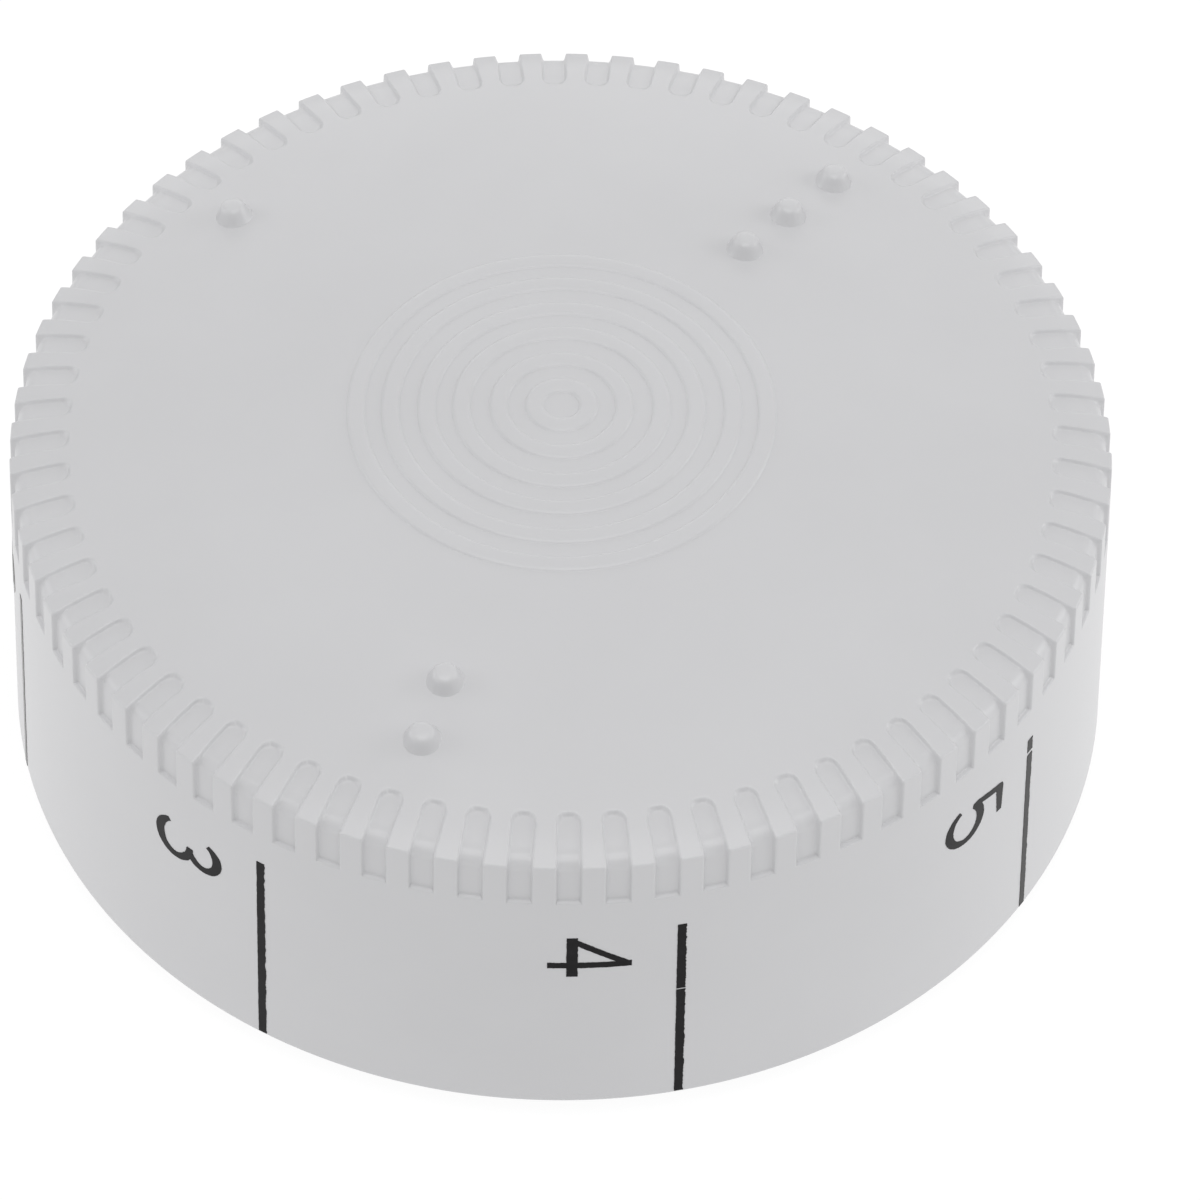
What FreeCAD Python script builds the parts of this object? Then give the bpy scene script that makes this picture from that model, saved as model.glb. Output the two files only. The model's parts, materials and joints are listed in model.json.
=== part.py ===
# Mechanical kitchen timer: a fluted rotating cap over a plastic base that holds a
# spring-driven gear train, a bell and its hammer.  Millimetres, +Z up, origin at the
# centre of the foot ring's resting plane.  Scale line 0 and the index lug are at +Y.
import FreeCAD, Part
import math
import os
import Sketcher

doc = FreeCAD.newDocument("KitchenTimer")
V = FreeCAD.Vector

SIZES = [
    # cap
    ("rimlevel", 1.5), ("rimrad", 38.0), ("edgerad", 37.75), ("edgelevel", 25.65),
    ("crownlevel", 29.9), ("shoulderrad", 35.0), ("shoulderlevel", 26.56), ("rollrad", 12.5), ("capwall", 2.0),
    ("domerad", 185.0), ("ringraise", 0.12), ("flutes", 72), ("flutewidth", 1.8),
    ("flutetip", 33.65), ("flutefloor", 0.26), ("fluteledge", 22.15), ("flutedepth", 0.32),
    ("dotbase", 1.55), ("dottop", 0.75), ("dotheight", 1.47), ("bossrad", 4.5), ("bosslevel", 21.4),
    ("tickwidth", 0.6), ("tickraise", 0.05), ("ticklength", 17.4),
    # base
    ("baselevel", 0.5), ("flangerad", 36.4), ("flangethick", 0.6), ("wallout", 35.4), ("wallin", 33.6),
    ("roofunder", 21.2), ("rooftop", 22.8), ("roofhole", 6.0), ("coverthick", 1.8), ("coverrad", 33.45),
    ("coverboss", 31.2), ("coverbossrad", 2.7), ("screwrad", 1.1), ("footin", 24.0), ("footout", 27.5),
    ("foothigh", 1.3),
    # movement frame
    ("platerad", 23.0), ("plateone", 9.2), ("platethick", 1.0), ("platetwo", 19.4),
    ("pillarcircle", 20.5), ("pillarrad", 1.9),
    # arbors
    ("arborrad", 2.0), ("pivotrad", 0.45), ("smallrad", 0.9), ("play", 0.05),
    # bell
    ("bellx", 0.0), ("belly", -4.0), ("bellrad", 20.0), ("bellwall", 0.8), ("bellbase", 4.0), ("belltop", 8.6),
    # gears
    ("moduleone", 0.5), ("teethone", 40), ("leavestwo", 10),
    ("moduletwo", 0.45), ("teethtwo", 36), ("leavesthree", 9),
    ("modulethree", 0.4), ("teeththree", 32), ("leavesfour", 8),
    ("teethescape", 15), ("escaperad", 5.0),
]
sheet = doc.addObject("Spreadsheet::Sheet", "Dims")
VALUE = {}
for row, (alias, value) in enumerate(SIZES, start=1):
    sheet.set("A%d" % row, alias)
    sheet.set("B%d" % row, str(value))
    sheet.setAlias("B%d" % row, alias)
    VALUE[alias] = float(value)
doc.recompute()


class Q:
    """A number together with the sheet expression that gives it."""

    def __init__(self, value, text):
        self.value, self.text = value, text

    def __add__(self, o):
        o = q(o)
        return Q(self.value + o.value, "(%s + %s)" % (self.text, o.text))

    __radd__ = __add__

    def __sub__(self, o):
        o = q(o)
        return Q(self.value - o.value, "(%s - %s)" % (self.text, o.text))

    def __rsub__(self, o):
        return q(o) - self

    def __mul__(self, o):
        o = q(o)
        return Q(self.value * o.value, "(%s * %s)" % (self.text, o.text))

    __rmul__ = __mul__

    def __truediv__(self, o):
        o = q(o)
        return Q(self.value / o.value, "(%s / %s)" % (self.text, o.text))


def q(x):
    return x if isinstance(x, Q) else Q(float(x), repr(round(float(x), 6)))


def D(alias):
    return Q(VALUE[alias], "Dims." + alias)


def bind(obj, prop, x):
    if isinstance(x, Q) and "Dims." in x.text:
        obj.setExpression(prop, x.text)
    return q(x).value


def place(obj, x=0, y=0, z=0, turn=0.0, axis=V(0, 0, 1)):
    obj.Placement = FreeCAD.Placement(
        V(q(x).value, q(y).value, q(z).value), FreeCAD.Rotation(axis, turn))
    for name, c in (("x", x), ("y", y), ("z", z)):
        bind(obj, "Placement.Base." + name, c)


def plane(body, role):
    return [f for f in body.Origin.OriginFeatures if f.Role == role][0]


def new_body(label):
    body = doc.addObject("PartDesign::Body", label)
    body.Label = label
    return body


def closed_sketch(body, name, role, points):
    """A closed outline of lines, and of arcs where a point carries a radius for the edge that
    leaves it.  Every corner is dimensioned from the origin by the sheet."""
    sk = body.newObject("Sketcher::SketchObject", name)
    sk.AttachmentSupport = [(plane(body, role), "")]
    sk.MapMode = "FlatFace"
    n = len(points)
    ends = []
    for i, p in enumerate(points):
        a = V(q(p[0]).value, q(p[1]).value, 0)
        b = points[(i + 1) % n]
        b = V(q(b[0]).value, q(b[1]).value, 0)
        if len(p) > 2:
            # a positive radius bulges to the left of the way the outline runs, a negative one to the right
            side = 1 if q(p[2]).value > 0 else -1
            bulge = abs(q(p[2]).value)
            half = (b - a).Length / 2
            left = V(0, 0, 1).cross(b - a).normalize()
            centre = (a + b) * 0.5 - left * side * math.sqrt(bulge ** 2 - half ** 2)
            first, second = (b, a) if side > 0 else (a, b)
            t0 = math.atan2(first.y - centre.y, first.x - centre.x)
            t1 = math.atan2(second.y - centre.y, second.x - centre.x)
            if t1 < t0:
                t1 += 2 * math.pi
            gid = sk.addGeometry(
                Part.ArcOfCircle(Part.Circle(centre, V(0, 0, 1), bulge), t0, t1), False)
            ends.append((gid, 2, 1) if side > 0 else (gid, 1, 2))
            cid = sk.addConstraint(Sketcher.Constraint("Radius", gid, bulge))
            if isinstance(p[2], Q) and side > 0:
                bind(sk, "Constraints[%d]" % cid, p[2])
        else:
            gid = sk.addGeometry(Part.LineSegment(a, b), False)
            ends.append((gid, 1, 2))
    for i in range(n):
        g, s, e = ends[i]
        g2, s2, e2 = ends[(i + 1) % n]
        sk.addConstraint(Sketcher.Constraint("Coincident", g, e, g2, s2))
    for i, p in enumerate(points):
        g, s, e = ends[i]
        for c, kind, line in ((p[0], "DistanceX", -2), (p[1], "DistanceY", -1)):
            if abs(q(c).value) < 1e-9:
                sk.addConstraint(Sketcher.Constraint("PointOnObject", g, s, line))
            else:
                cid = sk.addConstraint(Sketcher.Constraint(kind, -1, 1, g, s, q(c).value))
                bind(sk, "Constraints[%d]" % cid, c)
    return sk


def circle_sketch(body, name, circles):
    sk = body.newObject("Sketcher::SketchObject", name)
    sk.AttachmentSupport = [(plane(body, "XY_Plane"), "")]
    sk.MapMode = "FlatFace"
    for x, y, r in circles:
        gid = sk.addGeometry(Part.Circle(V(q(x).value, q(y).value, 0), V(0, 0, 1), q(r).value), False)
        cid = sk.addConstraint(Sketcher.Constraint("Radius", gid, q(r).value))
        bind(sk, "Constraints[%d]" % cid, r)
        for c, kind, line in ((x, "DistanceX", -2), (y, "DistanceY", -1)):
            if abs(q(c).value) < 1e-9:
                sk.addConstraint(Sketcher.Constraint("PointOnObject", gid, 3, line))
            else:
                cid = sk.addConstraint(Sketcher.Constraint(kind, -1, 1, gid, 3, q(c).value))
                bind(sk, "Constraints[%d]" % cid, c)
    return sk


def revolved(label, points, x=0, y=0, turn=0.0):
    """A body turned about its own Z from an outline of (radius, level) corners."""
    body = new_body(label)
    sk = closed_sketch(body, label + "_outline", "XZ_Plane", points)
    rev = body.newObject("PartDesign::Revolution", label + "_turned")
    rev.Profile = sk
    rev.ReferenceAxis = (sk, ["V_Axis"])
    rev.Angle = 360
    place(body, x, y, 0, turn)
    return body


def disc(label, z, thick, circles, x=0, y=0, turn=0.0):
    """A flat piece padded from its outer circle and its holes."""
    body = new_body(label)
    sk = circle_sketch(body, label + "_outline", circles)
    pad = body.newObject("PartDesign::Pad", label + "_pad")
    pad.Profile = sk
    pad.Length = q(thick).value
    bind(pad, "Length", thick)
    place(body, x, y, z, turn)
    return body


count = [0]


def prim(body, kind, x=0, y=0, z=0, turn=0.0, **sizes):
    """A PartDesign primitive in a body, bound to the sheet."""
    count[0] += 1
    obj = body.newObject("PartDesign::" + kind, "%s_%s_%d" % (body.Label, kind.lower(), count[0]))
    for key, value in sizes.items():
        setattr(obj, key, q(value).value)
        bind(obj, key, value)
    place(obj, x, y, z, turn)
    return obj


def polar(r, deg):
    return r * math.cos(math.radians(deg)), r * math.sin(math.radians(deg))


def qpolar(alias, deg):
    c, s = polar(1.0, deg)
    return D(alias) * round(c, 6), D(alias) * round(s, 6)


def group(label, items):
    comp = doc.addObject("Part::Compound", label)
    comp.Links = items
    comp.Label = label
    return comp


def cyl(name, x, y, z, r, h_):
    c = doc.addObject("Part::Cylinder", name)
    c.Radius, c.Height = q(r).value, q(h_).value
    bind(c, "Radius", r)
    bind(c, "Height", h_)
    place(c, x, y, z)
    return c


def box(name, lx, ly, lz, x, y, z, turn=0.0):
    """A box centred in its own X and Y on (x, y), rising from z."""
    b = doc.addObject("Part::Box", name)
    b.Length, b.Width, b.Height = q(lx).value, q(ly).value, q(lz).value
    bind(b, "Length", lx)
    bind(b, "Width", ly)
    bind(b, "Height", lz)
    rot = FreeCAD.Rotation(V(0, 0, 1), turn)
    off = rot.multVec(V(-q(lx).value / 2, -q(ly).value / 2, 0))
    b.Placement = FreeCAD.Placement(V(q(x).value, q(y).value, q(z).value) + off, rot)
    return b


def fuse(label, items):
    f = doc.addObject("Part::MultiFuse", label)
    f.Shapes = items
    f.Label = label
    return f


def cut(label, base, tool):
    c = doc.addObject("Part::Cut", label)
    c.Base, c.Tool = base, tool
    c.Label = label
    return c


def feature(label, shape, x=0, y=0, z=0, turn=0.0):
    f = doc.addObject("Part::Feature", label)
    f.Shape = shape
    f.Label = label
    place(f, x, y, z, turn)
    return f


# ------------------------------------------------------------------ the rotating cap
def dome(r):
    """Level of the cap's top surface at a radius, an arc of the sheet's dome radius."""
    R = VALUE["domerad"]
    return VALUE["crownlevel"] - (R - math.sqrt(R * R - r * r))


def qdome(r, up=0.0):
    drop = VALUE["crownlevel"] - dome(r)
    return D("crownlevel") - round(drop, 6) + up


raise_ = D("ringraise")
RINGS = [(1.2, 2.5), (3.65, 4.95), (6.2, 7.5), (8.57, 9.87), (11.05, 12.35), (13.4, 14.7)]
outline = [(0, D("crownlevel"))]
for a, b in RINGS:
    outline += [(a, qdome(a)), (a + 0.12, qdome(a) + raise_), (b - 0.12, qdome(b) + raise_), (b, qdome(b))]
last = outline.pop()
outline.append((last[0], last[1], D("domerad")))
outline += [
    (D("shoulderrad"), D("shoulderlevel"), D("rollrad")),
    (D("edgerad") - 0.2, D("edgelevel") + 0.2),
    (D("edgerad"), D("edgelevel")),
    (D("rimrad"), D("rimlevel") + 0.2),
    (D("rimrad") - 0.2, D("rimlevel")),
    (D("rimrad") - D("capwall"), D("rimlevel")),
    (D("rimrad") - D("capwall") - 0.05, D("shoulderlevel") - D("capwall") - 0.9),
    (D("shoulderrad") - 0.7, D("shoulderlevel") - D("capwall") + 0.05, D("domerad") * -1),
    (D("bossrad"), D("crownlevel") - D("capwall") - 0.1),
    (D("bossrad"), D("bosslevel")),
    (D("arborrad") + 0.02, D("bosslevel")),
    (D("arborrad") + 0.02, D("crownlevel") - D("capwall") - 0.9),
    (0, D("crownlevel") - D("capwall") - 0.9),
]
FLUTE_TURN = 3.25
dial_cap = revolved("dial_cap", outline, turn=FLUTE_TURN)
# D flat in the boss
prim(dial_cap, "AdditiveBox", x=1.5, y=-1.7, z=D("bosslevel"), turn=0,
     Length=0.9, Width=3.4, Height=D("crownlevel") - D("bosslevel") - D("capwall") - 0.5)
# tactile dots in radial rows of one, two and three
DOTS = [(30.4, 126.0), (24.6, -120.9), (29.4, -120.9), (20.4, 38.8), (25.3, 38.8), (30.5, 38.8)]
for r, deg in DOTS:
    x, y = polar(r, deg - FLUTE_TURN)
    prim(dial_cap, "AdditiveCone", x=x, y=y, z=qdome(r) - 0.35, Radius1=D("dotbase"),
         Radius2=D("dottop"), Height=D("dotheight"))
# one finger flute, cut in from the top over the edge on to the skirt, then repeated round
sk = closed_sketch(dial_cap, "flute_section", "XZ_Plane", [
    (D("flutetip"), D("crownlevel")),
    (D("flutetip"), qdome(33.65) - D("flutefloor") + 0.1),
    (D("flutetip") + 0.2, qdome(33.85) - D("flutefloor")),
    (D("edgerad") - D("flutedepth") - 1.0, D("edgelevel") + 0.28, 1.0),
    (D("edgerad") - D("flutedepth"), D("edgelevel") - 0.72),
    (D("edgerad") - D("flutedepth") + 0.05, D("fluteledge")),
    (D("rimrad") + 1.0, D("fluteledge")),
    (D("rimrad") + 1.0, D("crownlevel")),
])
flute = dial_cap.newObject("PartDesign::Pocket", "flute")
flute.Profile = sk
flute.Midplane = True
flute.Length = VALUE["flutewidth"]
bind(flute, "Length", D("flutewidth"))
flute_ring = dial_cap.newObject("PartDesign::PolarPattern", "flute_ring")
flute_ring.Originals = [flute]
flute_ring.Axis = (plane(dial_cap, "Z_Axis"), [""])
flute_ring.Angle = 360
flute_ring.Occurrences = int(VALUE["flutes"])
bind(flute_ring, "Occurrences", D("flutes"))
dial_cap.Tip = flute_ring

# printed scale lines, every 45 degrees from 0 to 6, a thin layer on the skirt
draft = math.degrees(math.atan2(VALUE["rimrad"] - VALUE["edgerad"], VALUE["edgelevel"] - VALUE["rimlevel"]))
ticks = []
for i in range(7):
    deg = 90.0 + 45.0 * i
    mid_z = VALUE["rimlevel"] + 0.25 + VALUE["ticklength"] / 2
    mid_r = VALUE["rimrad"] - (mid_z - VALUE["rimlevel"]) * math.tan(math.radians(draft))
    t_ = doc.addObject("Part::Box", "tick_%d" % i)
    t_.Length, t_.Width, t_.Height = 0.12, VALUE["tickwidth"], VALUE["ticklength"]
    bind(t_, "Width", D("tickwidth"))
    bind(t_, "Height", D("ticklength"))
    c, s = polar(1.0, deg)
    rot = FreeCAD.Rotation(V(0, 0, 1), deg).multiply(FreeCAD.Rotation(V(0, 1, 0), -draft))
    start = V(mid_r * c, mid_r * s, mid_z) + rot.multVec(
        V(-0.12 + VALUE["tickraise"] + 0.0, -VALUE["tickwidth"] / 2, -VALUE["ticklength"] / 2))
    t_.Placement = FreeCAD.Placement(start, rot)
    ticks.append(t_)
tick_blank = fuse("tick_blank", ticks)
# the skirt's own cone, taken away so that only the thin printed layer stands proud
cone = doc.addObject("Part::Cone", "skirt_cone")
cone.Radius1, cone.Radius2 = VALUE["rimrad"], VALUE["edgerad"]
cone.Height = VALUE["edgelevel"] - VALUE["rimlevel"] - 0.2
bind(cone, "Radius1", D("rimrad"))
bind(cone, "Radius2", D("edgerad"))
bind(cone, "Height", D("edgelevel") - D("rimlevel") - 0.2)
place(cone, 0, 0, D("rimlevel") + 0.2)
scale_marks = cut("scale_marks", tick_blank, cone)

# ------------------------------------------------------------------ the base
base_housing = revolved("base_housing", [
    (D("wallin"), D("baselevel")), (D("flangerad"), D("baselevel")),
    (D("flangerad"), D("baselevel") + D("flangethick")), (D("wallout"), D("baselevel") + D("flangethick")),
    (D("wallout"), D("rooftop") - 0.8), (D("wallout") - 0.8, D("rooftop")),
    (D("roofhole"), D("rooftop")), (D("roofhole"), D("roofunder")),
    (D("wallin"), D("roofunder")),
])
COVER_DEG = (30, 150, 270)
PILLAR_DEG = (330, 70, 170)
cover_top = D("baselevel") + D("coverthick")
for deg in COVER_DEG:
    x, y = qpolar("coverboss", deg)
    prim(base_housing, "AdditiveCylinder", x, y, cover_top, Radius=D("coverbossrad"),
         Height=D("roofunder") - cover_top + 0.3)
for deg in PILLAR_DEG:
    x, y = qpolar("pillarcircle", deg)
    prim(base_housing, "AdditiveCylinder", x, y, D("platetwo") + D("platethick"), Radius=3.0,
         Height=D("roofunder") - D("platetwo") - D("platethick") + 0.3)
prim(base_housing, "AdditiveBox", x=-1.2, y=D("flangerad") - 0.5, z=D("baselevel"),
     Length=2.4, Width=D("rimrad") - D("flangerad") + 0.4, Height=D("flangethick"))
for deg in COVER_DEG:
    x, y = qpolar("coverboss", deg)
    prim(base_housing, "SubtractiveCylinder", x, y, D("baselevel"), Radius=D("screwrad") + 0.03,
         Height=11.0)
for deg in PILLAR_DEG:
    x, y = qpolar("pillarcircle", deg)
    prim(base_housing, "SubtractiveCylinder", x, y, D("platetwo"), Radius=1.2, Height=4.5)

bottom_cover = disc("bottom_cover", D("baselevel"), D("coverthick"),
                    [(0, 0, D("coverrad"))] +
                    [(*qpolar("coverboss", deg), D("screwrad") + 0.15) for deg in COVER_DEG])
for deg in COVER_DEG:
    x, y = qpolar("coverboss", deg)
    prim(bottom_cover, "SubtractiveCylinder", x, y, 0, Radius=2.3, Height=1.0)
# groove for the foot ring
ring_cut = prim(bottom_cover, "SubtractiveTorus" if False else "SubtractiveCylinder", 0, 0, 0,
                Radius=D("footout") + 0.02, Height=D("foothigh") - D("baselevel"))
prim(bottom_cover, "AdditiveCylinder", 0, 0, 0, Radius=D("footin") - 0.02,
     Height=D("foothigh") - D("baselevel"))
# sound slots through the cover, under the bell
slot_sk = bottom_cover.newObject("Sketcher::SketchObject", "slot_outline")
slot_sk.AttachmentSupport = [(plane(bottom_cover, "XY_Plane"), "")]
slot_sk.MapMode = "FlatFace"
for a, b in ((V(10, 0.9, 0), V(19, 0.9, 0)), (V(19, -0.9, 0), V(10, -0.9, 0))):
    slot_sk.addGeometry(Part.LineSegment(a, b), False)
slot_sk.addGeometry(Part.Arc(V(19, 0.9, 0), V(19.9, 0, 0), V(19, -0.9, 0)), False)
slot_sk.addGeometry(Part.Arc(V(10, -0.9, 0), V(9.1, 0, 0), V(10, 0.9, 0)), False)
slot = bottom_cover.newObject("PartDesign::Pocket", "sound_slot")
slot.Profile = slot_sk
slot.Type = 0
slot.Length = VALUE["coverthick"] + 1
slot.Midplane = False
slot.Reversed = True
bind(slot, "Length", D("coverthick") + 1)
slots = bottom_cover.newObject("PartDesign::PolarPattern", "sound_slots")
slots.Originals = [slot]
slots.Axis = (plane(bottom_cover, "Z_Axis"), [""])
slots.Angle = 360
slots.Occurrences = 12
bottom_cover.Tip = slots

foot_ring = revolved("foot_ring", [
    (D("footin"), 0.25), (D("footin") + 0.25, 0), (D("footout") - 0.25, 0), (D("footout"), 0.25),
    (D("footout"), D("foothigh")), (D("footin"), D("foothigh")),
])


def screw(name, x, y, head_level, head_high, head_rad, shank_rad, shank_long, down):
    """A pan-head screw with a cross recess; down is True when the head looks down."""
    head = cyl(name + "_head", x, y, head_level, head_rad, head_high)
    if down:
        shank = cyl(name + "_shank", x, y, q(head_level) + head_high, shank_rad, shank_long)
        recess_z = q(head_level).value - 0.01
    else:
        shank = cyl(name + "_shank", x, y, q(head_level) - shank_long, shank_rad, shank_long)
        recess_z = q(head_level).value + q(head_high).value - 0.55
    both = fuse(name + "_blank", [head, shank])
    r = q(head_rad).value * 1.3
    cross = fuse(name + "_cross", [
        box(name + "_cross_a", r, 0.45, 0.56, x, y, recess_z, 20),
        box(name + "_cross_b", 0.45, r, 0.56, x, y, recess_z, 20)])
    return cut(name, both, cross)


group("cover_screws", [
    screw("cover_screw_%d" % i, *qpolar("coverboss", deg), D("baselevel") + 0.1, 0.88, 2.2,
          D("screwrad"), 8.0, True) for i, deg in enumerate(COVER_DEG)])
group("movement_screws", [
    screw("movement_screw_%d" % i, *qpolar("pillarcircle", deg), D("rooftop"), 1.2, 2.2,
          1.0, 7.6, False) for i, deg in enumerate(PILLAR_DEG)])

# ------------------------------------------------------------------ movement frame
A0 = (0.0, 0.0)
gap_one = VALUE["moduleone"] * (VALUE["teethone"] + VALUE["leavestwo"]) / 2
gap_two = VALUE["moduletwo"] * (VALUE["teethtwo"] + VALUE["leavesthree"]) / 2
gap_three = VALUE["modulethree"] * (VALUE["teeththree"] + VALUE["leavesfour"]) / 2
A1 = polar(gap_one, 200.0)


def turn_to(radius, reach, near_radius, near_deg):
    """Angle of a point at radius from the centre that lies reach from the point (near_radius, near_deg)."""
    c = (radius ** 2 + near_radius ** 2 - reach ** 2) / (2 * radius * near_radius)
    return near_deg + math.degrees(math.acos(c))


deg2 = turn_to(15.5, gap_two, gap_one, 200.0)
A2 = polar(15.5, deg2)
deg3 = turn_to(16.0, gap_three, 15.5, deg2)
A3 = polar(16.0, deg3)
A4 = polar(16.5, 294.0)
A5 = (10.78, 9.70)
STUD = polar(11.6, 110.0)
STOPS = [polar(8.0, -11.4), polar(8.0, 51.4)]
BELL = (D("bellx"), D("belly"))
pivot_holes = [(x, y, D("pivotrad") + D("play")) for x, y in (A1, A2, A3, A4)]
bottom_plate = disc("bottom_plate", D("plateone"), D("platethick"),
                    [(0, 0, D("platerad")), (0, 0, 1.2 + D("play"))] + pivot_holes +
                    [(*A5, D("smallrad") + D("play")), (*STUD, 0.62), (D("bellx"), D("belly"), 1.22)] +
                    [(*qpolar("pillarcircle", deg), 1.22) for deg in PILLAR_DEG])
top_plate = disc("top_plate", D("platetwo"), D("platethick"),
                 [(0, 0, D("platerad")), (0, 0, D("arborrad") + D("play"))] + pivot_holes +
                 [(*A5, D("pivotrad") + D("play"))] + [(x, y, 0.82) for x, y in STOPS] +
                 [(*qpolar("pillarcircle", deg), 1.2) for deg in PILLAR_DEG])

plate_top = D("plateone") + D("platethick")
pillars = []
for i, deg in enumerate(PILLAR_DEG):
    x, y = qpolar("pillarcircle", deg)
    post = cyl("pillar_post_%d" % i, x, y, plate_top, D("pillarrad"), D("platetwo") - plate_top)
    foot = cyl("pillar_foot_%d" % i, x, y, D("plateone") - 0.15, 1.2, D("platethick") + 0.3)
    hole = cyl("pillar_hole_%d" % i, x, y, D("platetwo") - 4.6, 1.02, 5.0)
    pillars.append(cut("pillar_%d" % i, fuse("pillar_blank_%d" % i, [post, foot]), hole))
group("plate_pillars", pillars)
group("stop_pins", [cyl("stop_pin_%d" % i, x, y, 16.5, 0.8, D("platetwo") + D("platethick") - 16.5)
                    for i, (x, y) in enumerate(STOPS)])
fuse("spring_stud", [cyl("spring_stud_post", *STUD, plate_top, 0.9, 6.3),
                     cyl("spring_stud_foot", *STUD, D("plateone") - 0.15, 0.6, 1.3)])

# mainspring: a flat strip wound in a spiral, its outer end running out to the stud
def strip_point(theta, side):
    turns = 9.0
    end = 2 * math.pi * turns
    if theta <= end:
        r = 2.25 + (8.1 - 2.25) * theta / end
    else:
        r = 8.1 + (10.69 - 0.3 - 8.1) * ((theta - end) / math.radians(75.0))
    a = theta - end + math.radians(110.0 - 75.0)
    return V((r + side) * math.cos(a), (r + side) * math.sin(a), 0)


last_theta = 2 * math.pi * 9.0 + math.radians(75.0)
steps = 230
inner = [strip_point(last_theta * k / steps, 0.0) for k in range(steps + 1)]
outer = [strip_point(last_theta * k / steps, 0.3) for k in range(steps + 1)]
ci, co = Part.BSplineCurve(), Part.BSplineCurve()
ci.interpolate(inner)
co.interpolate(outer)
strip = Part.Wire([ci.toShape(), Part.makeLine(inner[-1], outer[-1]),
                   co.toShape(), Part.makeLine(outer[0], inner[0])])
feature("mainspring", Part.Face(strip).extrude(V(0, 0, 3.0)), z=13.0)

# ------------------------------------------------------------------ bell
cyl("bell_post_body", *BELL, D("bellbase") + D("bellwall"), 2.2,
    D("plateone") - D("bellbase") - D("bellwall"))
cyl("bell_post_spigot", *BELL, D("plateone") - 0.1, 1.2, D("platethick") + 0.1)
cut("bell_post", fuse("bell_post_blank", [doc.getObject("bell_post_body"), doc.getObject("bell_post_spigot")]),
    cyl("bell_post_hole", *BELL, D("bellbase"), 1.02, 4.2))
b_, w_ = D("bellrad"), D("bellwall")
revolved("bell", [
    (1.15, D("bellbase")), (b_ - 2.5, D("bellbase"), -2.5), (b_, D("bellbase") + 2.5), (b_, D("belltop")),
    (b_ - w_, D("belltop")), (b_ - w_, D("bellbase") + 2.5, 1.7), (b_ - 2.5, D("bellbase") + w_),
    (1.15, D("bellbase") + w_),
], x=BELL[0], y=BELL[1])
screw("bell_screw", *BELL, D("bellbase") - 1.2, 1.2, 2.4, 1.0, 4.2, True)

# ------------------------------------------------------------------ dial arbor and what it carries
main_arbor = revolved("main_arbor", [
    (0, D("plateone") - 0.1), (1.2, D("plateone") - 0.1), (1.2, plate_top + 0.06), (3.6, plate_top + 0.06),
    (3.6, 10.88), (D("arborrad"), 10.88), (D("arborrad"), 20.5), (1.6, 20.5), (1.6, 21.0),
    (D("arborrad"), 21.0), (D("arborrad"), 26.5), (D("arborrad") - 0.3, 26.8), (0, 26.8),
], turn=FLUTE_TURN)
prim(main_arbor, "SubtractiveBox", x=1.45, y=-3, z=21.3, Length=3, Width=6, Height=8)
bore = D("arborrad") + 0.015
revolved("friction_washer", [(bore, 11.72), (4.4, 11.72), (4.4, 11.98), (bore, 12.1)])
disc("clutch_collar", 12.12, 0.6, [(0, 0, 3.2), (0, 0, bore)])
ring = doc.addObject("Part::Cut", "clip_ring")
ring.Base = cyl("clip_out", 0, 0, 20.52, 3.4, 0.46)
ring.Tool = cyl("clip_in", 0, 0, 20.0, 1.62, 2.0)
cut("arbor_clip", ring, box("clip_gap", 4.0, 2.4, 2.0, 3.2, 0, 20.0, 0))

# alarm cam: notch for the hammer lever, and the lug that meets the stop pins
cam_disc = cyl("cam_disc", 0, 0, 16.4, 6.6, 0.7)
lug = box("cam_lug", 3.0, 2.0, 0.7, *polar(7.3, -25.0), 16.4, -25.0)
cam_blank = fuse("cam_blank", [cam_disc, lug])
cam_tools = fuse("cam_tools", [cyl("cam_bore", 0, 0, 15.0, D("arborrad") + 0.015, 4.0),
                               box("cam_notch", 1.8, 2.2, 3.0, *polar(6.6, 20.0), 15.0, 20.0)])
cut("alarm_cam", cam_blank, cam_tools)

# ------------------------------------------------------------------ gears
PRESSURE = math.radians(20.0)


def involute(a):
    return math.tan(a) - a


def gear_face(module, teeth, add, ded, thin=0.035):
    """An involute gear's face: arcs through three points of each flank, tip and root arcs."""
    teeth = int(teeth)
    r = module * teeth / 2
    rb = r * math.cos(PRESSURE)
    ra, rf = r + add, r - ded
    half = math.pi / (2 * teeth) - thin / (2 * r)

    def width(rho):
        if rho <= rb:
            return half + involute(PRESSURE)
        return half + involute(PRESSURE) - involute(math.acos(rb / rho))

    low = max(rf, rb + 1e-4)
    edges = []

    def pt(rho, a):
        return V(rho * math.cos(a), rho * math.sin(a), 0)

    for k in range(teeth):
        c = 2 * math.pi * k / teeth
        mid = (low + ra) / 2
        for side in (-1, 1):
            pts = [pt(rho, c + side * width(rho)) for rho in (low, mid, ra)]
            if rf < low - 1e-3:
                edges.append(Part.makeLine(pt(rf, c + side * width(low)), pts[0]))
            edges.append(Part.Arc(*pts).toShape())
        edges.append(Part.Arc(pt(ra, c - width(ra)), pt(ra, c), pt(ra, c + width(ra))).toShape())
        nxt = c + 2 * math.pi / teeth
        edges.append(Part.Arc(pt(rf, c + width(low)), pt(rf, c + math.pi / teeth),
                              pt(rf, nxt - width(low))).toShape())
    return Part.Face(Part.Wire(Part.__sortEdges__(edges)))


def gear(label, module, teeth, add, ded, hole, z, thick, x, y, turn):
    solid = gear_face(module, teeth, add, ded).extrude(V(0, 0, thick))
    solid = solid.cut(Part.makeCylinder(hole, thick + 2, V(0, 0, -1)))
    return feature(label, solid, x, y, z, turn)


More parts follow.
